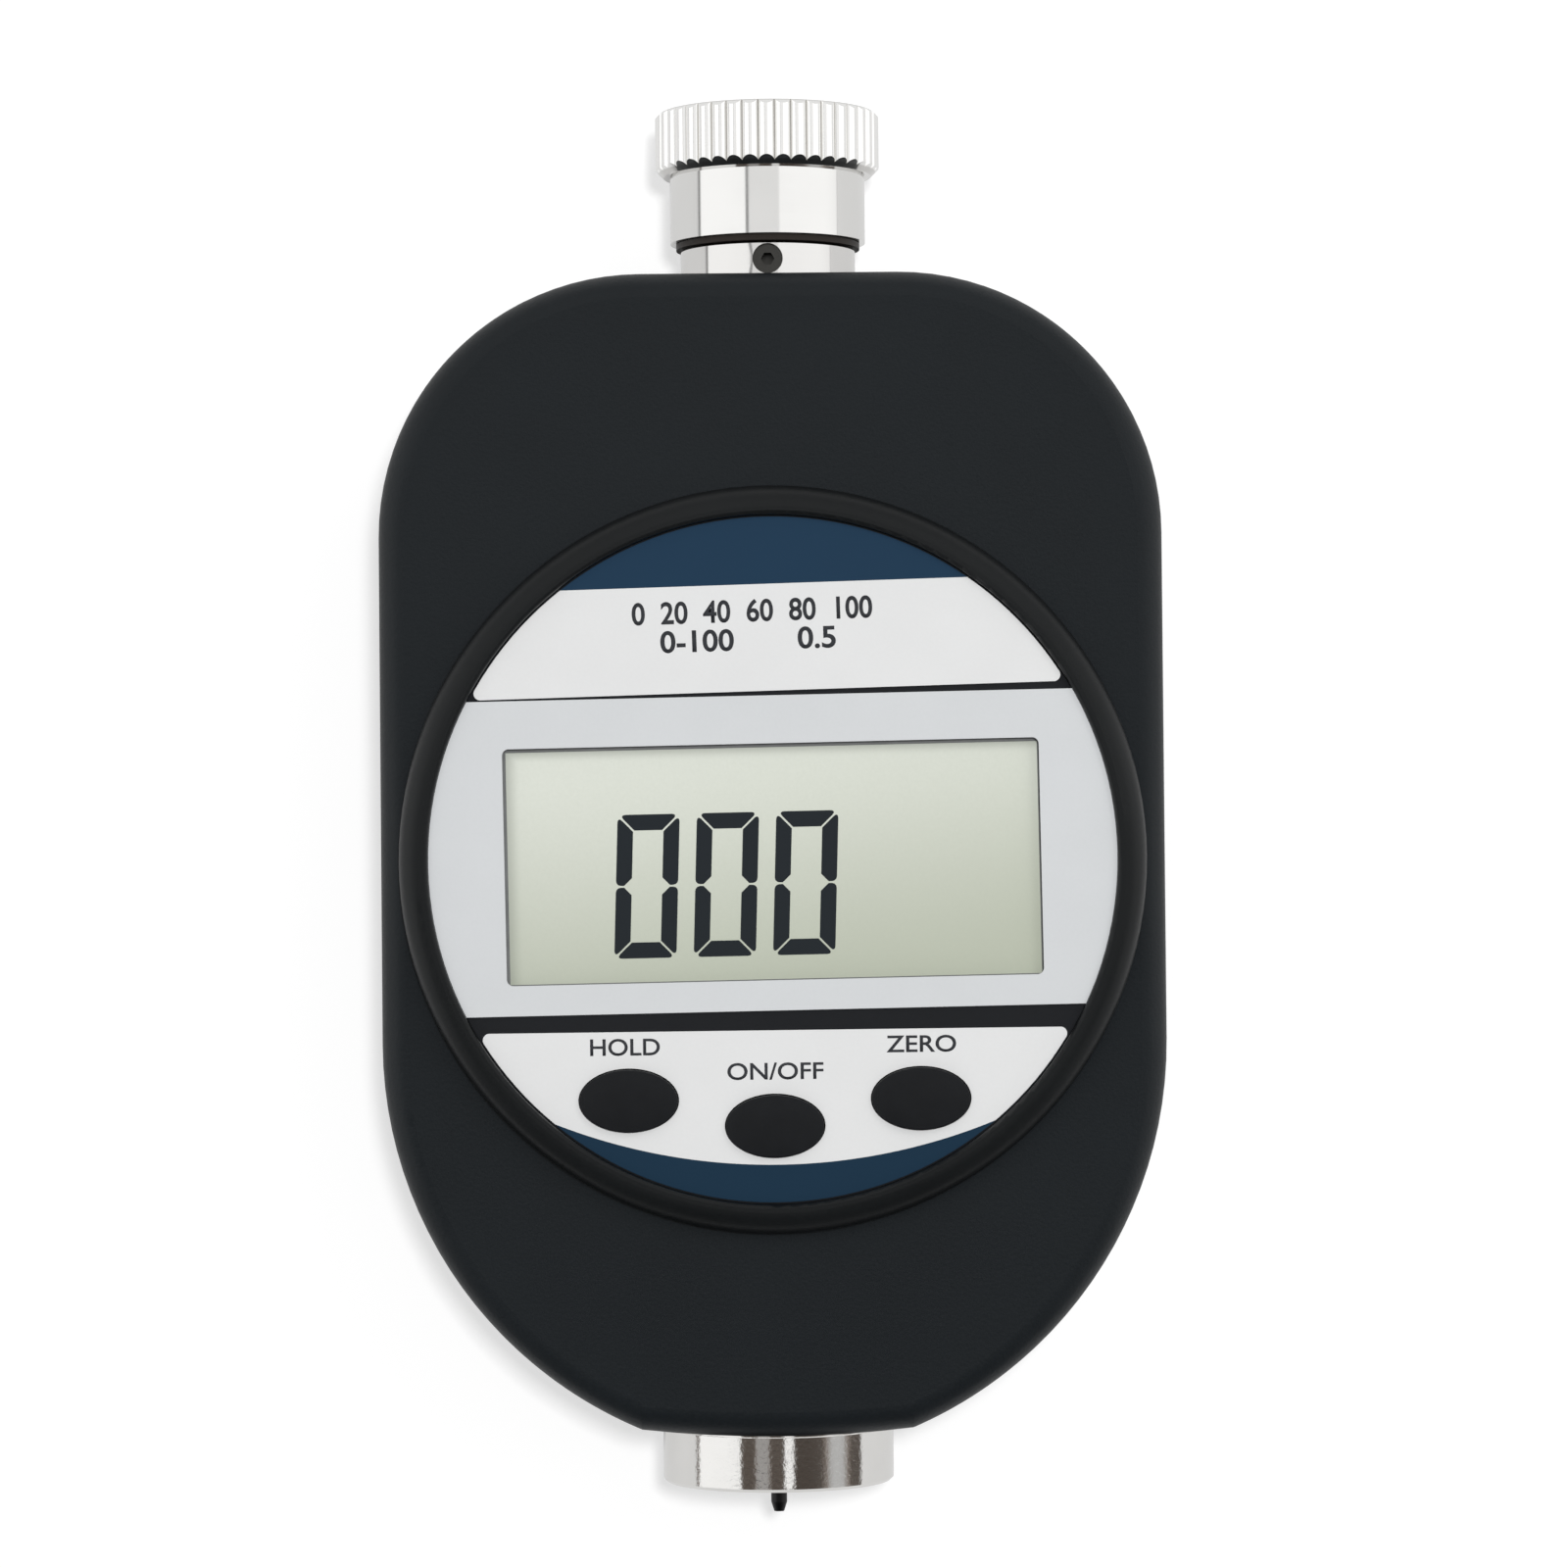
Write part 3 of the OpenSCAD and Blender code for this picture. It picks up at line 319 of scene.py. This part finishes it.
# Each finish with its colour and roughness, then what its maker adds
finishes = [
    moulded("case_black", (0.0078, 0.0102, 0.0122), 0.48, 0.28, 0.022),
    moulded("cover_black", (0.0115, 0.013, 0.0145), 0.55, 0.34, 0.03),
    moulded("ring_black", (0.0062, 0.0072, 0.0078), 0.42, 0.3, 0.01),
    moulded("plate_dark", (0.009, 0.010, 0.012), 0.5, 0.3, 0.01),
    moulded("chip_black", (0.014, 0.015, 0.016), 0.6, 0.15, 0.01),
    printed("panel_grey", (0.622, 0.638, 0.65), 0.45),
    printed("label_white", (0.727, 0.731, 0.731), 0.4),
    printed("label_blue", (0.011, 0.036, 0.072), 0.4),
    # Label blue darkened for the lower field: painted shade
    printed("blue_ink_painted_shade", (0.0085, 0.029, 0.056), 0.4),
    printed("figure_ink", (0.016, 0.020, 0.024), 0.5),
    printed("caption_ink", (0.035, 0.037, 0.042), 0.5),
    display_finish(),
    board_finish(),
    zebra_finish(),
    strip_finish(),
    rubber("key_rubber", (0.0085, 0.0092, 0.0105), 0.5),
    rubber("washer_dark", (0.025, 0.020, 0.017), 0.5),
    rubber("seal_rubber", (0.012, 0.012, 0.012), 0.6),
    # Grey of the painted rim shade round the display window
    rubber("rim_shade_grey", (0.16, 0.165, 0.165), 0.6),
    knob_finish(),
    plated("bright_chrome", (0.76, 0.75, 0.735), 0.09, 0.05),
    plated("foot_chrome", (0.83, 0.82, 0.80), 0.08, 0.06, 0.008),
    plated("cell_steel", (0.56, 0.57, 0.58), 0.2, 0.1),
    plated("dome_steel", (0.48, 0.49, 0.50), 0.22, 0.1),
    turned("screw_steel", (0.36, 0.37, 0.38), 0.3, 0.004, (1, 1, 0.03)),
    turned("carrier_aluminium", (0.48, 0.50, 0.52), 0.36, 0.006),
    turned("spindle_steel", (0.50, 0.52, 0.54), 0.22, 0.002),
    turned("indenter_steel", (0.045, 0.044, 0.045), 0.4, 0.002),
    turned("spring_steel", (0.27, 0.28, 0.30), 0.3, 0.002, (1, 1, 1)),
    turned("adjuster_brass", (0.43, 0.27, 0.08), 0.3, 0.004),
    turned("bush_bronze", (0.48, 0.25, 0.08), 0.42, 0.006, (1, 1, 1)),
    turned("contact_brass", (0.56, 0.36, 0.09), 0.28, 0.002, (1, 1, 1)),
    turned("grub_black", (0.13, 0.128, 0.12), 0.42, 0.006, (1, 1, 0.05)),
]
FINISH = {made.material.name: made.material for made in finishes}


def paint(piece, finish):
    piece.data.materials.clear()
    piece.data.materials.append(FINISH[finish])


for part in frame["record"]["subparts"]:
    paint(nodes[part["node"]], part["material_slot"])
paint(nodes["presser_foot"], "foot_chrome")
paint(nodes["knob"], "knob_chrome")


# Modelling helpers


def choose(piece):
    """Selects that one piece."""
    bpy.ops.object.select_all(action="DESELECT")
    piece.select_set(True)
    bpy.context.view_layer.objects.active = piece


def edit(piece):
    choose(piece)
    bpy.ops.object.mode_set(mode="EDIT")


def done():
    bpy.ops.object.mode_set(mode="OBJECT")


def added(name, operator, **settings):
    """A new object, made by one of Blender's operators."""
    bpy.ops.object.select_all(action="DESELECT")
    operator(**settings)
    made = bpy.context.object
    made.name = name
    return made


def pick(piece, mode, test):
    """In edit mode, selects the vertices or faces that pass the test and nothing else."""
    bpy.ops.mesh.select_mode(type=mode)
    bpy.ops.mesh.select_all(action="DESELECT")
    done()
    items = piece.data.polygons if mode == "FACE" else piece.data.vertices
    for item in items:
        item.select = test(item)
    bpy.ops.object.mode_set(mode="EDIT")


def apply_place():
    bpy.ops.object.transform_apply(location=True, rotation=True, scale=True)


def copy_of(node, name):
    """A merged copy of a node, with its flat faces joined up."""
    made = nodes[node].copy()
    made.data = nodes[node].data.copy()
    made.name = name
    made.parent = None
    for key in list(made.keys()):
        del made[key]
    bpy.context.scene.collection.objects.link(made)
    edit(made)
    bpy.ops.mesh.select_all(action="SELECT")
    bpy.ops.mesh.customdata_custom_splitnormals_clear()
    bpy.ops.mesh.remove_doubles(threshold=0.002 * MM)
    bpy.ops.mesh.dissolve_limited(angle_limit=math.radians(0.5))
    done()
    return made


def film_of(node, name):
    """The upper face of a node alone."""
    film = copy_of(node, name)
    edit(film)
    pick(film, "FACE", lambda face: face.normal.z < 0.9)
    bpy.ops.mesh.delete(type="FACE")
    done()
    return film


def round_edges(piece, width, segments):
    """Rounds every sharp edge of a piece."""
    choose(piece)
    edges = piece.modifiers.new("edges", "BEVEL")
    edges.width = width
    edges.segments = segments
    edges.limit_method = "ANGLE"
    edges.angle_limit = math.radians(40)
    edges.use_clamp_overlap = True
    bpy.ops.object.modifier_apply(modifier=edges.name)
    bpy.ops.object.shade_smooth_by_angle(angle=math.radians(35))


def thicken(piece, height):
    """Gives a flat film its thickness, upwards."""
    edit(piece)
    bpy.ops.mesh.select_all(action="SELECT")
    bpy.ops.mesh.extrude_region_move(TRANSFORM_OT_translate={"value": (0, 0, height)})
    bpy.ops.mesh.select_all(action="SELECT")
    bpy.ops.mesh.normals_make_consistent(inside=False)
    done()


def settle(piece, finish, body="housing"):
    """Paints a finished piece and lets it ride on its body."""
    paint(piece, finish)
    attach(piece, body)


def lettering(name, words, centre, width, height, turn, bold=0.0):
    """Printed letters of that width and height, in the plane of the face."""
    made = added(name, bpy.ops.object.text_add)
    made.data.body = words
    made.data.offset = bold
    made.data.resolution_u = 6
    made.data.fill_mode = "FRONT"
    bpy.ops.object.convert(target="MESH")
    corners = [Vector(corner) for corner in made.bound_box]
    low = Vector(map(min, *corners))
    high = Vector(map(max, *corners))
    made.data.transform(Matrix.Translation(-(low + high) / 2))
    made.scale = (width / (high.x - low.x), height / (high.y - low.y), 1)
    made.rotation_euler = (0, 0, turn)
    made.location = centre
    apply_place()
    thicken(made, PRINT)
    return made


def on_turned(x, y, z, turn):
    """A place on the face, given in a frame that is turned with a label."""
    return Matrix.Rotation(turn, 3, "Z") @ Vector((x * MM, y * MM, 0)) + Vector((0, 0, z))


# White band across the upper label, up to the blue field


def white_band():
    band = film_of("upper_label", "upper_band")
    edge = on_turned(0, 20.9, LABEL_TOP, UPPER_TURN)
    edit(band)
    bpy.ops.mesh.select_all(action="SELECT")
    up = Matrix.Rotation(UPPER_TURN, 3, "Z") @ Vector((0, 1, 0))
    bpy.ops.mesh.bisect(plane_co=edge, plane_no=up, clear_outer=True)
    done()
    thicken(band, PRINT)
    settle(band, "label_white")


# Blue field under the keys, cut by a wide arc, in a darker copy of the label blue: painted shade on
# the lower face


def blue_field():
    field = film_of("lower_label", "lower_field")
    thicken(field, PRINT)
    arc_r, arc_low, through = 45 * MM, -23.2 * MM, 4 * MM
    cylinder = bpy.ops.mesh.primitive_cylinder_add
    centre = (0, arc_low + arc_r, LABEL_TOP)
    cutter = added("cutter", cylinder, vertices=400, radius=arc_r, depth=through, location=centre)
    choose(field)
    cut = field.modifiers.new("arc", "BOOLEAN")
    cut.operation = "DIFFERENCE"
    cut.solver = "EXACT"
    cut.object = cutter
    bpy.ops.object.modifier_apply(modifier=cut.name)
    bpy.data.objects.remove(cutter)
    settle(field, "blue_ink_painted_shade")


white_band()
blue_field()

# Rubber keys, softly rounded all round


def soft_key(node, body):
    key = copy_of(node, node + "_cap")
    round_edges(key, 0.32 * MM, 4)
    settle(key, "key_rubber", body)
    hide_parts(node)


soft_key("hold_key", "hold_button")
soft_key("power_key", "power_button")
soft_key("zero_key", "zero_button")

# Letters on the labels


def captions():
    caption_h = 1.3 * MM
    for name, words, x, y, width in (
        ("hold_caption", "HOLD", -11.4, -14.15, 5.3),
        ("power_caption", "ON/OFF", 0.0, -16.1, 7.3),
        ("zero_caption", "ZERO", 11.1, -14.15, 5.3),
    ):
        centre = on_turned(x, y, LABEL_TOP, LOWER_TURN)
        letters = lettering(name, words, centre, width * MM, caption_h, LOWER_TURN, 0.012)
        settle(letters, "caption_ink")
    above = LABEL_TOP + PRINT
    for name, words, x, y, width, height in (
        ("scale_numbers", "0  20  40  60  80  100", -0.95, 18.95, 18.3, 1.75),
        ("range_numbers", "0-100", -5.2, 16.75, 5.6, 1.7),
        ("step_number", "0.5", 3.9, 16.75, 2.9, 1.7),
    ):
        centre = on_turned(x, y, above, UPPER_TURN)
        letters = lettering(name, words, centre, width * MM, height * MM, UPPER_TURN, 0.02)
        settle(letters, "caption_ink")


captions()

# Figures of the display: three noughts of six strokes each


def nought(name, x, y):
    """One figure of seven strokes, its middle stroke unlit."""
    width, height, stroke, gap = 4.74 * MM, 10.95 * MM, 1.21 * MM, 0.14 * MM
    slant = math.radians(2.6)
    made = added(name, bpy.ops.mesh.primitive_plane_add, size=1)
    made.scale = (width + gap, height + gap, 1)
    apply_place()
    edit(made)
    bpy.ops.mesh.select_all(action="SELECT")
    bpy.ops.mesh.inset(thickness=stroke + gap)
    bpy.ops.mesh.delete(type="FACE")
    side = width / 2 - stroke
    pick(made, "FACE", lambda face: abs(face.center.x) > side / 2)
    bpy.ops.mesh.bisect(plane_co=(0, 0, 0), plane_no=(0, 1, 0))
    bpy.ops.mesh.select_mode(type="FACE")
    bpy.ops.mesh.select_all(action="SELECT")
    bpy.ops.mesh.inset(thickness=gap / 2, use_individual=True)
    bpy.ops.mesh.select_all(action="INVERT")
    bpy.ops.mesh.delete(type="FACE")
    # Corners by the middle, cut inside and rounded outside, then the rounded ends of the figure
    end = height / 2 - gap - stroke / 8
    pick(made, "VERT", lambda v: abs(v.co.y) < gap and abs(v.co.x) < side + stroke / 2)
    bpy.ops.mesh.bevel(offset=0.48 * stroke, affect="VERTICES")
    pick(made, "VERT", lambda v: abs(v.co.y) < gap and abs(v.co.x) > side + 0.9 * stroke)
    bpy.ops.mesh.bevel(offset=0.3 * stroke, segments=3, affect="VERTICES")
    pick(made, "VERT", lambda v: abs(v.co.y) > end and abs(v.co.x) > side + 0.6 * stroke)
    bpy.ops.mesh.bevel(offset=0.42 * stroke, segments=4, affect="VERTICES")
    done()
    lean = Matrix.Identity(4)
    lean[0][1] = math.tan(slant)
    made.data.transform(lean)
    made.rotation_euler = (0, 0, DISPLAY_TURN)
    made.location = on_turned(x, y, DISPLAY_TOP, DISPLAY_TURN)
    choose(made)
    apply_place()
    thicken(made, PRINT)
    settle(made, "figure_ink")


FIGURE_X, FIGURE_Y, FIGURE_STEP = -3.58, -1.85, 6.05
for place, step in enumerate(("hundreds", "tens", "units")):
    nought("figure_" + step, FIGURE_X + FIGURE_STEP * (place - 1), FIGURE_Y)

# Raised plus sign on the battery cap, for the side of the cell that faces it


def cell_mark():
    cap_low, cap_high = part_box("battery_cap")
    arm, half_arm, rise, from_edge = 1.5 * MM, 0.28 * MM, 0.08 * MM, 3.6 * MM
    centre = Vector(((cap_low.x + cap_high.x) / 2, cap_low.y + from_edge, cap_low.z))
    made = added("cell_mark", bpy.ops.mesh.primitive_cube_add, size=1)
    made.scale = (2 * half_arm, 2 * half_arm, 2 * rise)
    made.location = centre
    apply_place()
    edit(made)
    for turn in range(4):
        way = Matrix.Rotation(turn * math.pi / 2, 3, "Z") @ Vector((1, 0, 0))
        aside = lambda face: (face.center - centre).cross(way).length
        pick(made, "FACE", lambda face: face.normal.dot(way) > 0.9 and aside(face) < half_arm)
        reach = way * (arm - half_arm)
        bpy.ops.mesh.extrude_region_move(TRANSFORM_OT_translate={"value": reach})
    done()
    round_edges(made, 0.04 * MM, 2)
    settle(made, "cover_black", "battery_door")


cell_mark()

# Grey strip laid on the display round the inside of the window, widest at the top and left: painted
# shade of the window's rim


def window_rim_shade():
    # How far the painted shade reaches inside each side of the window, then the window itself
    left, right, low, high = 0.2 * MM, 0.09 * MM, 0.06 * MM, 0.26 * MM
    window_w, window_h, drop = 40.8 * MM, 18 * MM, 0.2 * MM
    border, thick = 0.3 * MM, 0.12 * MM
    made = added("rim_shade_strip", bpy.ops.mesh.primitive_plane_add, size=1)
    made.scale = (window_w - left - right + 2 * border, window_h - low - high + 2 * border, 1)
    made.location = ((left - right) / 2, (low - high) / 2 - drop, DISPLAY_TOP)
    apply_place()
    edit(made)
    bpy.ops.mesh.select_all(action="SELECT")
    bpy.ops.mesh.inset(thickness=border)
    bpy.ops.mesh.delete(type="FACE")
    done()
    made.rotation_euler = (0, 0, DISPLAY_TURN)
    choose(made)
    apply_place()
    thicken(made, thick)
    settle(made, "rim_shade_grey")


window_rim_shade()

# Measuring spring: a round-wired coil, made at one length, though the real one shortens as the
# indenter goes in


def measuring_spring():
    low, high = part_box("main_spring")
    wire_r, coils, steps, travel = 0.45 * MM, 9, 48, 2.5 * MM
    coil_r = high.x - wire_r
    length = high.y - low.y
    circle = bpy.ops.mesh.primitive_circle_add
    made = added("spring_coil", circle, vertices=16, radius=wire_r)
    made.rotation_euler = (math.pi / 2, 0, 0)
    made.location = (coil_r, 0, wire_r)
    apply_place()
    coil = made.modifiers.new("coil", "SCREW")
    coil.iterations = coils
    coil.screw_offset = (length - 2 * wire_r) / coils
    coil.steps = steps
    coil.render_steps = steps
    bpy.ops.object.modifier_apply(modifier=coil.name)
    edit(made)
    bpy.ops.mesh.select_all(action="SELECT")
    bpy.ops.mesh.fill_holes(sides=0)
    bpy.ops.mesh.normals_make_consistent(inside=False)
    done()
    made.rotation_euler = (-math.pi / 2, 0, 0)
    made.location = (0, low.y, (low.z + high.z) / 2)
    choose(made)
    apply_place()
    bpy.ops.object.shade_smooth_by_angle(angle=math.radians(40))
    settle(made, "spring_steel")
    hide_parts("main_spring")
    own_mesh(made)


measuring_spring()

# Stage: floor, lamps, world and camera


def floor():
    made = added("floor", bpy.ops.mesh.primitive_plane_add, size=6)
    material = bpy.data.materials.new("floor_white")
    material.use_nodes = True
    tree = material.node_tree
    tree.nodes.clear()
    ray = tree.nodes.new("ShaderNodeLightPath")
    # Grey of the paper, glow far from the part, its share by the part and its share in mirrors
    grey, far_glow, near_share, mirror_share = 0.46, 0.9, 0.667, 0.537
    near, far = 0.08, 0.45
    paper = Paint(tree).node("BsdfDiffuse", {"Color": (grey, grey, grey, 1)})
    x, y = paper.node("TexCoord", output="Object").axes()[:2]
    away = x.math("SQRT", x * x + y * y).band(near, far)
    tones = {0: away, 6: (near_share, near_share, near_share, 1), 7: (1, 1, 1, 1)}
    tone = paper.node("Mix", tones, output=2, data_type="RGBA")
    glow = paper.node("Emission", {"Color": tone, "Strength": far_glow})
    seen = Paint(tree, ray.outputs["Is Camera Ray"])
    mirrored = Paint(tree, ray.outputs["Is Glossy Ray"])
    through = Paint(tree, ray.outputs["Is Transmission Ray"])
    beyond = seen.math("MAXIMUM", mirrored * mirror_share, through)
    shown = seen.math("MAXIMUM", seen, beyond)
    both = paper.node("AddShader", {0: paper, 1: glow})
    mixed = paper.node("MixShader", {0: shown, 1: paper, 2: both})
    paper.node("OutputMaterial", {"Surface": mixed})
    made.data.materials.append(material)


def lamp(name, place, size, power):
    """A square lamp that lights the part but isn't mirrored in it."""
    aim = (0, 0, 0.02)
    data = bpy.data.lights.new(name, "AREA")
    data.shape = "SQUARE"
    data.size = size
    data.energy = power
    made = bpy.data.objects.new(name, data)
    bpy.context.scene.collection.objects.link(made)
    made.location = place
    made.rotation_euler = (Vector(aim) - Vector(place)).to_track_quat("-Z", "Y").to_euler()
    made.visible_glossy = False


# Panels and seams of the tent: first and last degree, softness and what it adds to the light
HIGH_PANELS = (
    (-90, -86, 0.8, -0.9),
    (-25.5, -22, 0.7, -0.85),
    (-22, 14, 0.8, -0.26),
)
LOW_PANELS = (
    (-90, -86.5, 0.6, -0.95),
    (-38, 6, 1, -0.97),
    (15, 91, 1, -1.0),
    (-23, -9, 1.5, 0.28),
    (50, 72, 7, 0.42),
)


def panelled(turn, light, panels):
    """Light round the measuring axis, changed panel by panel."""
    for first, last, soft, change in panels:
        light = light + turn.between(first, last, soft) * change
    return light


def tent():
    """World: a white light tent with side panels, a darker roof and seams that metal mirrors."""
    room_light, dimmest = 0.3, 0.03
    world = bpy.data.worlds.new("tent")
    bpy.context.scene.world = world
    world.use_nodes = True
    tree = world.node_tree
    tree.nodes.clear()
    ray = tree.nodes.new("ShaderNodeLightPath")
    seen = Paint(tree, ray.outputs["Is Camera Ray"])
    mirrored = Paint(tree, ray.outputs["Is Glossy Ray"])
    through = Paint(tree, ray.outputs["Is Transmission Ray"])
    way = seen.node("TexCoord", output="Generated")
    x, y, z = way.axes()
    turn = x.math("ARCTAN2", x, z) * (180 / math.pi)
    # The strip that the knob and the neck mirror, then the one that the foot mirrors
    high = panelled(turn, 1.17, HIGH_PANELS) - turn.band(70, 100) * 0.12
    low = panelled(turn, 1.08, LOW_PANELS)
    # All round them the walls, dimmed near and far, and the roof
    near_dim = y.band(-0.15, -0.7) * z.between(0, 0.85, 0.1) * 0.8
    far_dim = y.band(0.15, 0.7) * z.between(0.2, 0.85, 0.1) * 0.5
    walls = 0.85 - near_dim - far_dim
    roof = 0.01 + 0.49 * y.band(-0.22, 0.26)
    rest = seen.node("Mix", {0: z.band(0.5, 0.86), 2: walls, 3: roof}, data_type="FLOAT")
    low_strip = y.between(-0.16, -0.07, 0.015)
    high_strip = y.between(0.08, 0.19, 0.015)
    bright = seen.node("Mix", {0: low_strip, 2: rest, 3: low}, data_type="FLOAT")
    bright = seen.node("Mix", {0: high_strip, 2: bright, 3: high}, data_type="FLOAT")
    bright = seen.math("MAXIMUM", bright, dimmest)
    shown = seen.math("MAXIMUM", seen, through)
    metal = seen.node("Mix", {0: mirrored, 2: room_light, 3: bright}, data_type="FLOAT")
    strength = seen.node("Mix", {0: shown, 2: metal, 3: 1.0}, data_type="FLOAT")
    # The darkest of the lower strip is brown
    umber = mirrored * low_strip * low.band(0.5, 0.1)
    tints = {0: umber, 6: rgb((1, 1, 1)), 7: rgb((1, 0.82, 0.70))}
    tint = seen.node("Mix", tints, output=2, data_type="RGBA")
    glow = seen.node("Background", {"Color": tint, "Strength": strength})
    seen.node("OutputWorld", {"Surface": glow})


def camera():
    data = bpy.data.cameras.new("camera")
    data.sensor_width = 36
    data.lens = 114.85
    data.clip_start = 0.01
    made = bpy.data.objects.new("camera", data)
    bpy.context.scene.collection.objects.link(made)
    place = Vector((1.36, -0.09, 403.3)) * MM
    aim = Vector((0.89, 5.89, 10.5)) * MM
    roll = math.radians(0.525)
    ahead = (aim - place).normalized()
    right = ahead.cross(Vector((math.sin(roll), math.cos(roll), 0))).normalized()
    up = right.cross(ahead)
    made.matrix_world = Matrix.Translation(place) @ Matrix((right, up, -ahead)).transposed().to_4x4()
    bpy.context.scene.camera = made


floor()
tent()
lamp("overhead", (0.042, 0.05, 0.6), 0.05, 2.2)
lamp("soft_right", (0.36, 0.27, 0.6), 0.3, 0.6)
lamp("soft_left", (-0.32, 0.27, 0.7), 0.5, 0.35)
camera()
bpy.context.scene.view_settings.view_transform = "Standard"
